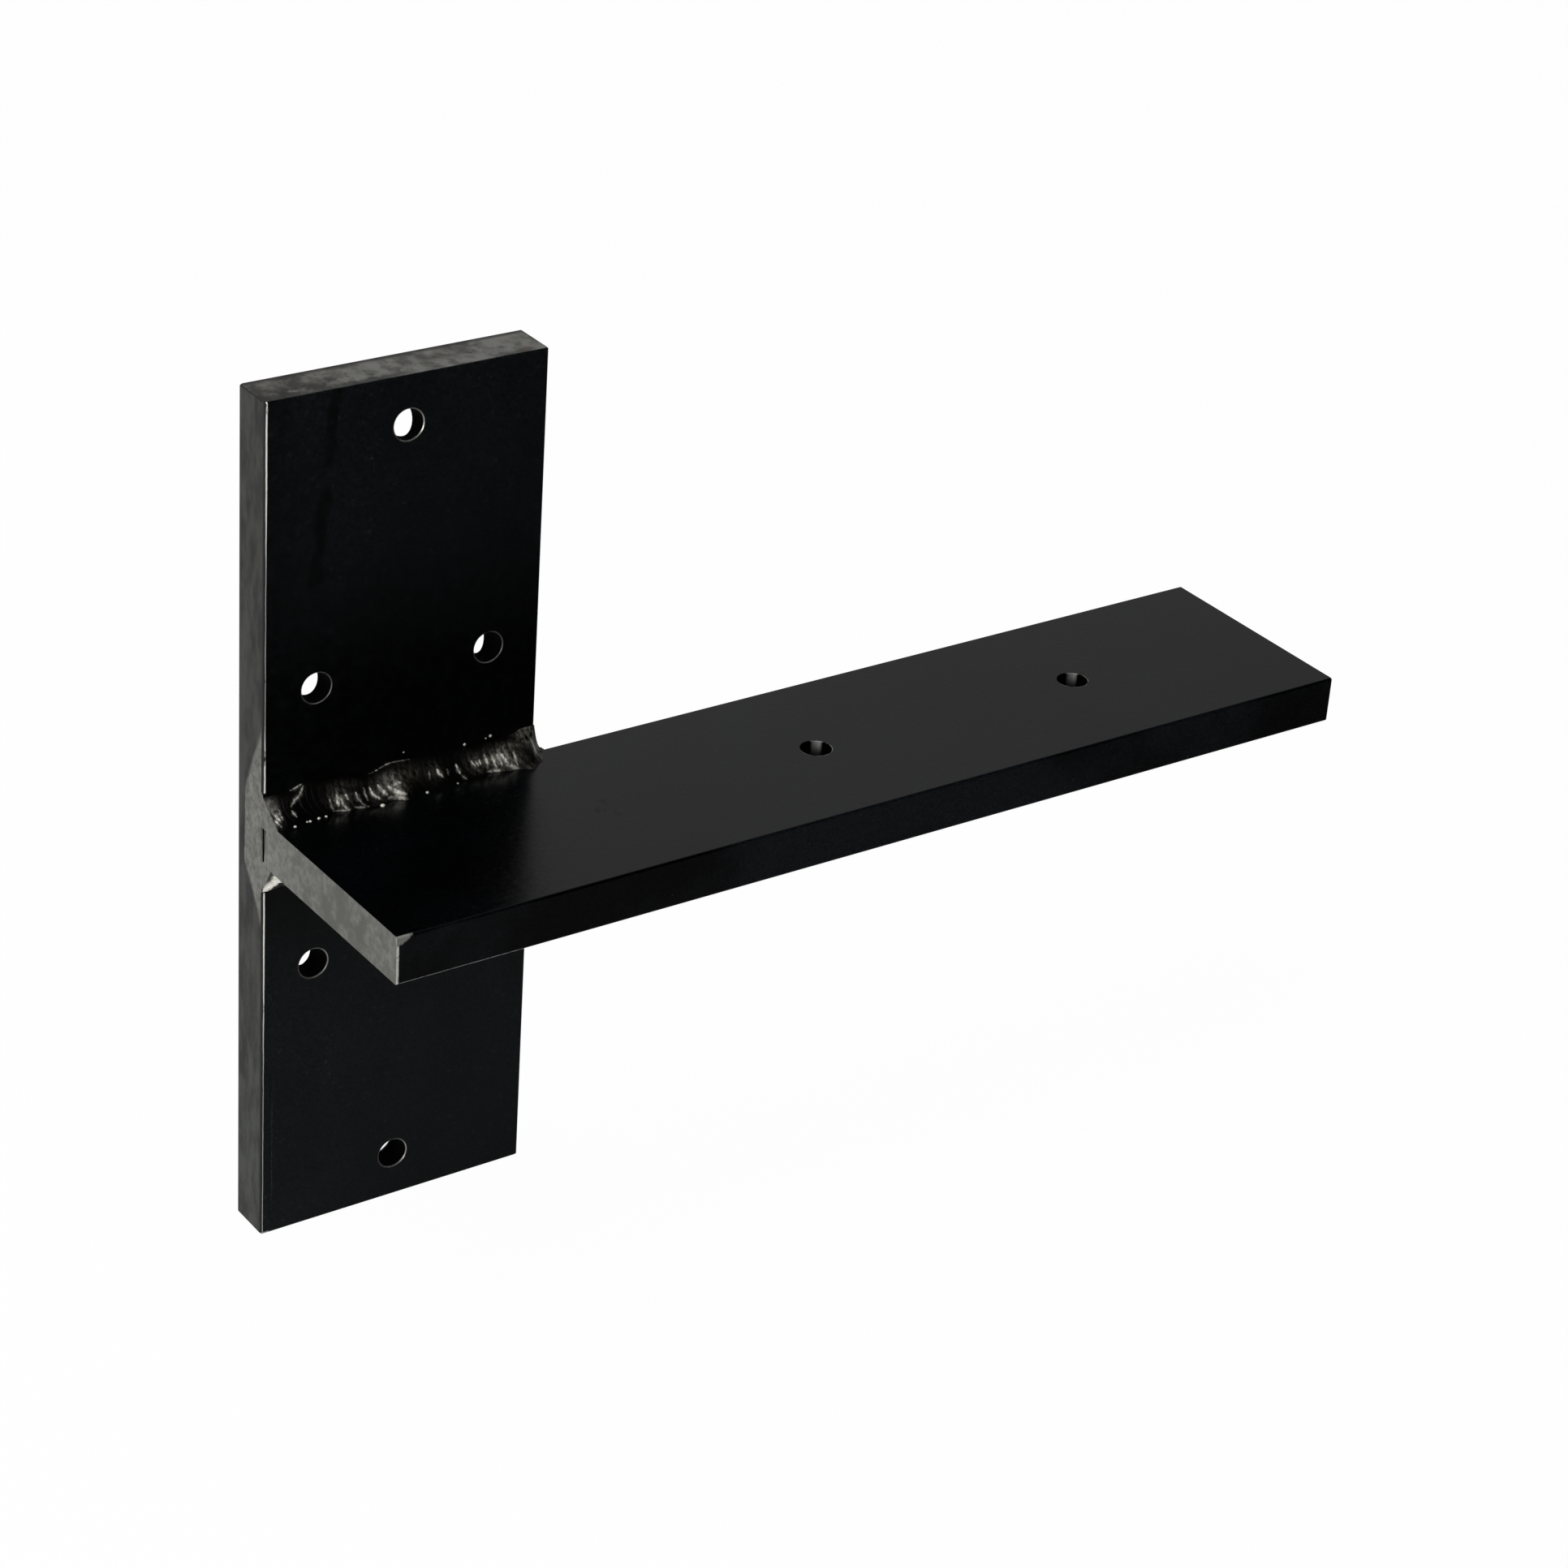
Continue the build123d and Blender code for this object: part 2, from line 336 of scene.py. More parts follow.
def plate_finish():
    finish, tree, shader = start_finish("plate_mill_scale", IOR=SCALE_IOR)
    place, x, y, z = places(tree)
    out_x, out_z = sums(tree, "ABSOLUTE", x), sums(tree, "ABSOLUTE", z)
    fine = clouds(tree, place, 1.6, detail=5)
    grit = clouds(tree, place, 0.45, detail=2)
    nicks = clouds(tree, place, 2.4, detail=4, stretch=(1, 1, 3), shift=9)
    colour = plate_scale(tree, place, x, z, fine, grit)
    rough = spread(tree, share(tree, fine, 0.3, 0.75), 0.31, 0.42)

    # the left edge, with a paler back corner
    on_left = share(tree, x, LEFT_EDGE + 0.08, LEFT_EDGE + 0.02)
    colour = tint(tree, on_left, colour, dull_edge(tree, place, z))
    back_corner = both(tree, share(tree, x, -37.8, -38.0), share(tree, y, -1.5, -0.7),
                       share(tree, out_z, 118, 60))
    colour = tint(tree, both(tree, back_corner, 0.6), colour, BACK_CORNER)

    # the sawn ends
    sawn = share(tree, out_z, PLATE_END - 0.15, PLATE_END - 0.05)
    colour = tint(tree, sawn, colour, sawn_end(tree, place, x, y))
    rough = either(tree, rough, both(tree, sawn, 0.52))

    # ground bright where the arm joins, with painted shade along the edge of the slit that the
    # welds left open
    ground = ground_zone(tree, place, y, z, on_left)
    colour = tint(tree, ground, colour, ground_steel(tree, place, y))
    rough = either(tree, rough, both(tree, on_left, less(tree, ground), 0.52))
    tear = wavering(tree, y, clouds(tree, place, 1.3, detail=3, shift=33), 0.5)
    tear = sums(tree, "SUBTRACT", tear, sums(tree, "MULTIPLY", z, 0.06))
    slit_shade = both(tree, share(tree, tear, -11.9, -12.25), share(tree, z, 3.9, 3.5),
                share(tree, z, -5.6, -5.0), on_left)
    colour = tint(tree, slit_shade, colour, PLATE_SLIT_SHADE)

    # the front left corner: dark scale on its turn, with the rubbed line over it, worn steel
    # painted brighter as its highlight
    joint = both(tree, share(tree, z, 13.2, 12.9), share(tree, z, -14.6, -14.3))
    turn = both(tree, share(tree, y, PLATE_FRONT + 0.95, PLATE_FRONT + 0.7),
                share(tree, x, LEFT_EDGE + 1.0, LEFT_EDGE + 0.7), less(tree, joint))
    colour = tint(tree, turn, colour, TURN_SCALE)
    line = rubbed_corner_and_highlight(tree, x, y, z, nicks, joint)
    colour = tint(tree, line, colour, WORN_STEEL_HIGHLIGHT)

    # drilled holes: thin bright rims, faint on the upper pair, and walls painted black as the
    # bore's shade, with the drill's rings
    from_side_hole = distance(tree, sums(tree, "SUBTRACT", out_x, SIDE_HOLE_X),
                              sums(tree, "SUBTRACT", out_z, SIDE_HOLE_Z))
    from_end_hole = distance(tree, x, sums(tree, "SUBTRACT", out_z, END_HOLE_Z))
    rims = either(tree, band(tree, from_side_hole, RIM_RADIUS, RIM_HALF_WIDTH),
                  band(tree, from_end_hole, RIM_RADIUS, RIM_HALF_WIDTH))
    rims = both(tree, rims, share(tree, y, PLATE_FRONT + 0.4, PLATE_FRONT + 0.25))
    rims = both(tree, rims, spread(tree, share(tree, nicks, 0.35, 0.55), 0.35, 1.0))
    upper_pair = both(tree, share(tree, z, 70, 50), share(tree, z, 20, 30))
    rims = both(tree, rims, spread(tree, upper_pair, 1.0, 0.22))
    near_hole = share(tree, sums(tree, "MINIMUM", from_side_hole, from_end_hole), 12.5, 12.0)
    behind_front = share(tree, y, PLATE_FRONT + 0.1, PLATE_FRONT + 0.2)
    before_back = share(tree, y, -0.02, -0.1)
    off_sides = share(tree, out_x, -LEFT_EDGE - 0.5, -LEFT_EDGE - 0.8)
    off_ends = share(tree, out_z, PLATE_END - 0.5, PLATE_END - 0.8)
    walls = both(tree, near_hole, behind_front, before_back, off_sides, off_ends)
    turns = sums(tree, "MULTIPLY", sums(tree, "ADD", y, both(tree, grit, 0.5)), 4.5)
    turns = share(tree, sums(tree, "SINE", turns), 0.55, 1.0)
    # the bore walls are painted black as their shade
    colour = tint(tree, walls, colour, tint(tree, turns, BORE_SHADE, DRILL_TURN))
    colour = tint(tree, rims, colour, RUBBED_RIM)
    rough = either(tree, rough, walls)

    metal = either(tree, both(tree, ground, less(tree, slit_shade)), walls, rims, both(tree, line, 0.15))
    fill_shader(tree, shader, colour, metal, rough, either(tree, fine, both(tree, grit, 0.8)), 0.02)
    return finish


def dress(piece, finish):
    """Gives a piece one finish all over."""
    piece.data.materials.clear()
    piece.data.materials.append(finish)


dress(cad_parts["wall_plate"], plate_finish())


# Shelf arm: an 11-1/4 in length of 2-1/2 x 1/2 in hot-rolled flat bar with two drilled holes.
# It is black with mill scale like the plate, and its left end is ground flush with the plate's
# edge, so that end is bare grey steel with a bright front corner, painted brighter as its
# highlight.

ARM_TOP = 6.35
ARM_FRONT = -77.0
ARM_MIDDLE = -45.25
FREE_END = 247.65
INNER_HOLE_X = 101.6
HOLE_SPACING = 82.55

# painted shade along the arm's side of the slit
ARM_SLIT_SHADE = (0.012, 0.012, 0.012)
# bare steel on the arm's ground corner, painted brighter as its highlight
STRUCK_STEEL_HIGHLIGHT = (0.90, 0.89, 0.85)
FREE_END_CUT = (0.02, 0.02, 0.018), (0.07, 0.068, 0.06)
RUBBED_TIP = (0.20, 0.20, 0.19)
# grey painted on the front half of the arm's hole rims as their highlight
ARM_RIM_HIGHLIGHT = (0.16, 0.16, 0.15)
# painted highlight down the far wall of the arm's bores
PAINTED_WALL_HIGHLIGHT = (0.62, 0.62, 0.60)


def struck_corner_and_highlight(tree, x, y, z, nicks):
    """The ground end's front corner, with a bare patch at its top, and the front's lower edge: bare
    steel painted brighter as their highlights.
    """
    near_end = share(tree, wavering(tree, x, nicks, 0.2), LEFT_EDGE + 0.6, LEFT_EDGE + 0.4)
    corner = both(tree, near_end, share(tree, y, ARM_FRONT + 0.25, ARM_FRONT + 0.1),
                  share(tree, z, 4.6, 3.6), share(tree, nicks, 0.28, 0.40))
    from_end = sums(tree, "MULTIPLY_ADD", x, 0.23, -LEFT_EDGE * 0.23)
    from_top = sums(tree, "MULTIPLY_ADD", z, -0.34, ARM_TOP * 0.34)
    from_tip = wavering(tree, sums(tree, "ADD", from_end, from_top), nicks, 0.45)
    patch = both(tree, share(tree, from_tip, 1.05, 0.75),
                 share(tree, y, ARM_FRONT + 0.7, ARM_FRONT + 0.5))
    hem = both(tree, share(tree, z, 0.4 - ARM_TOP, 0.25 - ARM_TOP),
               share(tree, y, ARM_FRONT + 0.5, ARM_FRONT + 0.3), share(tree, x, 2.0, -12.0),
               share(tree, nicks, 0.4, 0.5))
    return either(tree, corner, both(tree, patch, 0.26), both(tree, hem, 0.35))


def arm_finish():
    finish, tree, shader = start_finish("arm_mill_scale", IOR=SCALE_IOR)
    place, x, y, z = places(tree)
    out_z = sums(tree, "ABSOLUTE", z)
    fine = clouds(tree, place, 1.6, detail=5, shift=30)
    grit = clouds(tree, place, 0.45, detail=2, shift=32)
    nicks = clouds(tree, place, 1.6, detail=4, stretch=(1, 1, 2), shift=14)
    on_top = share(tree, z, ARM_TOP - 0.25, ARM_TOP - 0.05)

    # mill scale, blacker on top, with a smudge in line with the plate's right edge, and dust
    broad = patches(tree, place, 40, 0.38, 0.66, detail=4, shift=31)
    blue = both(tree, broad, spread(tree, on_top, 0.85, 0.12))
    speckle = patches(tree, place, 0.8, 0.32, 0.68, detail=4, rough=0.7, shift=19)
    blue = both(tree, blue, spread(tree, speckle, 0.4, 1.5))
    colour = tint(tree, blue, JET_SCALE, BLUE_SCALE)
    rough = spread(tree, share(tree, fine, 0.3, 0.75), 0.20, 0.29)
    smears = patches(tree, place, 2.2, 0.48, 0.58, detail=4, stretch=(1, 3, 1), shift=27)
    smudge = both(tree, band(tree, sums(tree, "MULTIPLY_ADD", y, 0.12, x), 31.5, 4.5),
                  band(tree, y, -47.0, 8.0), smears, on_top)
    rough = either(tree, rough, both(tree, smudge, 0.42))
    dust = patches(tree, place, 1.1, 0.79, 0.83, detail=1, shift=84)
    colour = tint(tree, both(tree, dust, 0.2), colour, DUST)

    # the left end, ground across its width, with painted shade along its side of the slit
    ground = share(tree, x, LEFT_EDGE + 0.08, LEFT_EDGE + 0.02)
    colour = tint(tree, ground, colour, ground_steel(tree, place, y))
    tear = wavering(tree, y, clouds(tree, place, 1.3, detail=3, shift=35), 0.5)
    tear = sums(tree, "ADD", tear, sums(tree, "MULTIPLY", share(tree, z, 2.4, 3.2), 0.55))
    slit_shade = both(tree, ground, share(tree, tear, -14.15, -13.85), share(tree, z, 3.9, 3.6),
                share(tree, z, -4.5, -2.0))
    colour = tint(tree, slit_shade, colour, ARM_SLIT_SHADE)
    struck_and_highlight = struck_corner_and_highlight(tree, x, y, z, nicks)
    colour = tint(tree, struck_and_highlight, colour, STRUCK_STEEL_HIGHLIGHT)

    # the free end: sawn, with its lower and upper front corners rubbed grey
    sawn = share(tree, x, FREE_END - 0.15, FREE_END - 0.05)
    cut = patches(tree, place, 9, 0.35, 0.65, detail=5, shift=12)
    colour = tint(tree, sawn, colour, tint(tree, cut, *FREE_END_CUT))
    tip = both(tree, share(tree, x, FREE_END - 0.75, FREE_END - 0.45),
               share(tree, y, ARM_FRONT + 0.8, ARM_FRONT + 0.6), share(tree, out_z, 4.6, 5.4))
    colour = tint(tree, both(tree, tip, 0.5), colour, RUBBED_TIP)

    # drilled holes, painted black inside as shade but for a painted highlight down the far wall,
    # with thin grey rims, a painted highlight on their front half
    from_hole = sums(tree, "SUBTRACT", x, INNER_HOLE_X)
    from_hole = sums(tree, "WRAP", from_hole, HOLE_SPACING / 2, -HOLE_SPACING / 2)
    from_middle = sums(tree, "SUBTRACT", y, ARM_MIDDLE)
    from_axis = distance(tree, from_hole, from_middle)
    past_plate = share(tree, x, 55, 60)  # as the pattern would draw a third hole short of there
    # the rims are grey only on their front half, a painted highlight
    rims = both(tree, band(tree, from_axis, RIM_RADIUS, RIM_HALF_WIDTH), on_top, past_plate,
                share(tree, from_middle, 2.0, -1.0), share(tree, nicks, 0.35, 0.5))
    colour = tint(tree, rims, colour, ARM_RIM_HIGHLIGHT)
    walls = both(tree, share(tree, from_axis, 4.3, 4.1),
                 share(tree, out_z, ARM_TOP, ARM_TOP - 0.15), past_plate)
    # the far wall of each bore gets a painted highlight
    far_side = sums(tree, "MULTIPLY", from_middle, 0.80)
    far_side = sums(tree, "MULTIPLY_ADD", from_hole, 0.60, far_side)
    far_wall_highlight = both(tree, share(tree, far_side, 3.62, 3.93), share(tree, z, 1.5, 5.0))
    colour = tint(tree, walls, colour, tint(tree, far_wall_highlight, BORE_SHADE, PAINTED_WALL_HIGHLIGHT))
    rough = either(tree, rough, both(tree, walls, 0.6))

    metal = either(tree, both(tree, ground, less(tree, slit_shade)), walls, both(tree, struck_and_highlight, 0.3))
    fill_shader(tree, shader, colour, metal, rough, either(tree, fine, both(tree, grit, 0.8)), 0.02)
    return finish


dress(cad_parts["shelf_arm"], arm_finish())


# Upper weld: a fillet of weld metal laid from left to right along the top of the joint.
# It froze in overlapping crescents under dark scale, and shows bare metal where the scale
# flaked off, painted bright as glints, and brown haze with painted sheen on its lumps and crests.
# Its left end is ground flush, with a dull facet beside it.

ARM_BACK = -13.5
ARM_ROUND = 0.6
WELD_RIGHT = 40.5
CROWN = 0.8  # the face's bulge between its swellings
HOLLOW = 1.7  # how far the face sinks at the right end
CRESCENT_PITCH, CRESCENT_LAG = 1.9, 2.2  # from scale to scale, and how far each one bows
CRESCENT_HEIGHT, LUMP_HEIGHT, GRAIN_HEIGHT, PIT_DEPTH = 0.14, 0.20, 0.05, 0.5

END_ROWS = 10  # rings of the mesh across the ground end
ROWS_ALONG = 620
FACE_COLUMNS = 72
HIDDEN_COLUMNS = 6  # against the arm, in the root and back up the plate
FACE_ACROSS = 9.0  # about the width of the weld's face, to measure streaks by
SHARP_OVER = 55  # degrees between two faces, past which their edge stays sharp

WELD_SCALE, BROWN_SCALE = (0.0008, 0.0008, 0.0007), (0.170, 0.160, 0.130)
SILVER = (0.66, 0.63, 0.54), (1.0, 0.98, 0.91)


def at_station(stations, x):
    """The value at x, on smooth steps between measured stations."""
    if x <= stations[0][0]:
        return stations[0][1]
    for (x0, v0), (x1, v1) in zip(stations, stations[1:]):
        if x <= x1:
            t = (x - x0) / (x1 - x0)
            return v0 + (v1 - v0) * t * t * (3 - 2 * t)
    return stations[-1][1]


def step(value, none_at, all_at):
    """What share() gives, for a number."""
    t = min(1, max(0, (value - none_at) / (all_at - none_at)))
    return t * t * (3 - 2 * t)


def ripple(x, v, pitch, lag, seed):
    """Height, from 0 to 1, of the crescent scales at x along the weld and v across it."""
    bow = lag * (2 * v - 1) ** 2 * (1.25 if v > 0.5 else 0.8)
    drift = 1.1 * noise.noise(Vector((x * 0.16, v * 0.8, seed)))
    phase = (x - bow + drift) / pitch
    scale, within = math.floor(phase), phase % 1
    random.seed(int(scale * 31 + seed * 7))
    strength = 0.35 + 0.65 * random.random()
    rise = random.uniform(0.16, 0.3)
    height = step(within, 0, rise) if within < rise else 1 - ((within - rise) / (1 - rise)) ** 1.4
    return height * strength


def from_path(x, v, path):
    """How far x and v are from a path on the weld's face, in mm, and how far down it that is."""
    nearest, down = 99.0, 0.0
    for number, ((x0, v0), (x1, v1)) in enumerate(zip(path, path[1:])):
        dx, dv = x1 - x0, (v1 - v0) * FACE_ACROSS
        px, pv = x - x0, (v - v0) * FACE_ACROSS
        t = min(1, max(0, (px * dx + pv * dv) / (dx * dx + dv * dv)))
        away = math.hypot(px - t * dx, pv - t * dv)
        if away < nearest:
            nearest, down = away, (number + t) / (len(path) - 1)
    return nearest, down


def streaks_at(x, v, streaks, seed):
    """How bare and how raised the face is at x and v, from the streaks that cross it, whose
    brightness is painted glint with a painted sheen round it.
    """
    bare_and_glint = lift = 0.0
    rag = 0.22 * noise.noise(Vector((x * 1.9, v * 15, seed)))
    flaw = 0.3 + 0.7 * step(noise.noise(Vector((x * 1.1, v * 9, seed + 9))), -0.30, 0.15)
    for half_width, bright, raised, path in streaks:
        if min(p[0] for p in path) - 1.5 < x < max(p[0] for p in path) + 1.5:
            away, down = from_path(x, v, path)
            taper = 0.35 + 0.65 * math.sin(math.pi * down) if half_width < 0.6 else 1
            away = (away + rag) / (half_width * taper)
            sheen = 0.82 * step(away, 1.3, 0.4) + 0.18 * step(away, 3.4, 0.6)
            bare_and_glint = max(bare_and_glint, bright * flaw * (0.4 + 0.6 * taper) * sheen)
            lift = max(lift, raised * step(away, 1.6, 0.2))
    return bare_and_glint, lift


def haze_and_sheen_at(x, v, hazes_and_sheen):
    """How much thin brown scale, between black scale and bare metal, lies at x and v, painted
    lighter on the weld's lumps as their sheen.
    """
    most = 0.0
    for centre, across, half_length, half_across, amount in hazes_and_sheen:
        away = ((x - centre) / half_length) ** 2 + ((v - across) / half_across) ** 2
        most = max(most, amount * math.exp(-away))
    return most


def legs_at(x, on_plate, on_arm):
    """How far the bead reaches up the plate and out from it at x, and how full it is there."""
    left_over = WELD_RIGHT - x
    full = min(1, max(0.12, left_over / 2.8)) ** 1.1
    past_plate = min(1, max(0.1, left_over / 2.5)) ** 2.4
    plate_leg = at_station(on_plate, x) * past_plate
    arm_leg = (at_station(on_arm, x) + PLATE_FRONT - ARM_BACK) * full
    return plate_leg, arm_leg, full


def face_at(x, v, full, swellings, streaks, hazes_and_sheen, pits, seed):
    """How far the face stands out at x and v, how bare it is, with its painted glints, and how much
    haze lies on it, with its painted sheen.
    """
    crown = CROWN + sum(height * math.exp(-((x - centre) / width) ** 2)
                        for centre, width, height in swellings)
    round_off = 1 - abs(2 * v - 1) ** 2.4
    at_toe = math.sin(math.pi * v) ** 0.5 if 0 < v < 1 else 0
    off_end = step(x, LEFT_EDGE + 2.4, LEFT_EDGE + 4)
    bare_and_glint, lift = streaks_at(x, v, streaks, seed)
    haze_and_sheen = haze_and_sheen_at(x, v, hazes_and_sheen)
    crescent = ripple(x, v, CRESCENT_PITCH, CRESCENT_LAG, seed)
    # painted sheen and shade: the haze is lighter on the crescents' crests and darker in their
    # grooves
    haze_and_sheen *= 0.25 + 0.95 * crescent
    scales = CRESCENT_HEIGHT * crescent * off_end
    lumps = LUMP_HEIGHT * noise.noise(Vector((x * 0.35, v * 2.2, seed + 3)))
    grains = GRAIN_HEIGHT * noise.noise(Vector((x * 1.6, v * 12, seed + 5)))
    sunk = 0.0
    for pit_x, pit_v, size in pits:
        inside = step(math.hypot(x - pit_x, (v - pit_v) * FACE_ACROSS), size, size * 0.5)
        sunk, bare_and_glint, haze_and_sheen = sunk + PIT_DEPTH * inside, bare_and_glint * (1 - inside), haze_and_sheen * (1 - inside)
    crown = crown * step(x, 38, 33) - HOLLOW * step(x, 34.5, 37.5)
    rise = crown * round_off + (scales + lumps + grains + lift - sunk) * at_toe

    # near the left end the face falls back to a ragged, sloping facet
    jag = 0.55 * noise.noise(Vector((x * 0.5, v * 9, seed + 6))) * math.sin(math.pi * v)
    return min(rise * full, 0.02 + 0.46 * (x - LEFT_EDGE) + jag), bare_and_glint, haze_and_sheen


def hidden_at(inner, depth):
    """The section's points round the arm's rolled edge, and then in the root gap."""
    if inner <= 2:
        turn = math.pi / 2 * inner / 2
        return Vector((ARM_BACK - ARM_ROUND + ARM_ROUND * math.sin(turn),
                       ARM_TOP - ARM_ROUND + ARM_ROUND * math.cos(turn)))
    return Vector(((ARM_BACK, PLATE_FRONT)[inner - 3], ARM_TOP - max(depth, ARM_ROUND)))


def torn_facet(point, x, row, recess, seed):
    """How far the part of the left end that the grinder missed is set back, and how bare."""
    from_out, lean = recess
    beyond = max(0, (from_out - point.x) * lean + (point.y - ARM_TOP) * (1 - lean))
    bare_and_glint = 0.0
    if x < LEFT_EDGE + 0.5:
        torn = 0.5 * noise.noise(Vector((point.x * 0.9, point.y * 1.3, seed)))
        tatters = noise.noise(Vector((point.x * 1.6, point.y * 2.1, seed + 2)))
        crack = 1 - step(abs(tatters + 0.12), 0.09, 0.03)
        rim = step(row, END_ROWS - 3, END_ROWS - 1) * step(beyond, 0, 0.3)
        bare_and_glint = max(rim, step(beyond + torn, 1.0, 1.5) * crack)
    return 0.2 * beyond * step(x, LEFT_EDGE + 7, LEFT_EDGE), bare_and_glint


def weld_run(name, side, on_plate, on_arm, swellings, depth, streaks, hazes_and_sheen, pits, recess, seed):
    """A closed bead whose crescents bulge towards its left end."""
    rows = END_ROWS + ROWS_ALONG
    columns = FACE_COLUMNS + HIDDEN_COLUMNS
    bead = bmesh.new()
    bmesh.ops.create_grid(bead, x_segments=rows, y_segments=columns, size=0.5)
    bare_and_glint_layer = bead.verts.layers.float.new("bare_and_glint")
    haze_and_sheen_layer = bead.verts.layers.float.new("haze_and_sheen")
    for vert in bead.verts:
        row = round((vert.co.x + 0.5) * rows)
        column = round((vert.co.y + 0.5) * columns)
        x = LEFT_EDGE + (WELD_RIGHT - LEFT_EDGE) * max(0, row - END_ROWS) / ROWS_ALONG
        plate_leg, arm_leg, full = legs_at(x, on_plate, on_arm)
        plate_toe = Vector((PLATE_FRONT, ARM_TOP + plate_leg))
        arm_toe = Vector((PLATE_FRONT - arm_leg, ARM_TOP))
        set_back = bare_and_glint = haze_and_sheen = 0.0
        if column <= FACE_COLUMNS or column == columns:
            v = 0 if column == columns else column / FACE_COLUMNS
            outward = Vector((-plate_leg, arm_leg)).normalized()
            rise, bare_and_glint, haze_and_sheen = face_at(x, v, full, swellings, streaks, hazes_and_sheen, pits, seed)
            point = plate_toe.lerp(arm_toe, v) + outward * rise
        else:
            point = hidden_at(column - FACE_COLUMNS - 1, depth)
        if row < END_ROWS:
            end_middle = Vector((PLATE_FRONT - 0.3, ARM_TOP + 0.25))
            point = end_middle.lerp(point, row / END_ROWS)
        if recess:
            set_back, torn_bare = torn_facet(point, x, row, recess, seed)
            bare_and_glint = max(bare_and_glint, torn_bare)
        vert[bare_and_glint_layer], vert[haze_and_sheen_layer] = bare_and_glint, haze_and_sheen
        vert.co = (x + set_back, point.x, side * point.y)
    bmesh.ops.remove_doubles(bead, verts=bead.verts, dist=1e-4)
    bmesh.ops.holes_fill(bead, edges=[e for e in bead.edges if e.is_boundary], sides=0)
    bmesh.ops.triangulate(bead, faces=[f for f in bead.faces if len(f.verts) > 4])
    bmesh.ops.recalc_face_normals(bead, faces=bead.faces)
    bmesh.ops.scale(bead, vec=(MM, MM, MM), verts=bead.verts)
    return finished(name, bead)


def finished(name, made):
    """A smooth-shaded object with its sharp corners kept, from a bmesh already in place."""
    mesh = bpy.data.meshes.new(name)
    made.to_mesh(mesh)
    made.free()
    mesh.shade_smooth()
    mesh.set_sharp_from_angle(angle=math.radians(SHARP_OVER))
    piece = bpy.data.objects.new(name, mesh)
    bpy.context.scene.collection.objects.link(piece)
    return piece


def layer(tree, name):
    """A number that the mesh carries at each point."""
    attribute = tree.nodes.new("ShaderNodeAttribute")
    attribute.attribute_name = name
    return attribute.outputs["Fac"]


def weld_finish():
    finish, tree, shader = start_finish("weld_metal", IOR=SCALE_IOR)
    place, x, y, _ = places(tree)
    flakes = patches(tree, place, 1.0, 0.30, 0.66, detail=5, stretch=(0.45, 1, 1), shift=40)
    fine = clouds(tree, place, 0.5, detail=4, shift=41)
    # brown haze, painted lighter on the lumps and crests as their sheen
    colour = tint(tree, both(tree, layer(tree, "haze_and_sheen"), flakes), WELD_SCALE, BROWN_SCALE)
    # bare metal painted bright as glints, with a painted sheen round them
    bare_and_glint = layer(tree, "bare_and_glint")
    colour = tint(tree, bare_and_glint, colour, tint(tree, share(tree, fine, 0.3, 0.7), *SILVER))
    ground = share(tree, x, LEFT_EDGE + 0.07, LEFT_EDGE + 0.02)
    colour = tint(tree, ground, colour, ground_steel(tree, place, y))
    metal = either(tree, ground, both(tree, bare_and_glint, 0.3))
    fill_shader(tree, shader, colour, metal, spread(tree, fine, 0.26, 0.48), fine, 0.05)
    return finish


weld_metal = weld_finish()
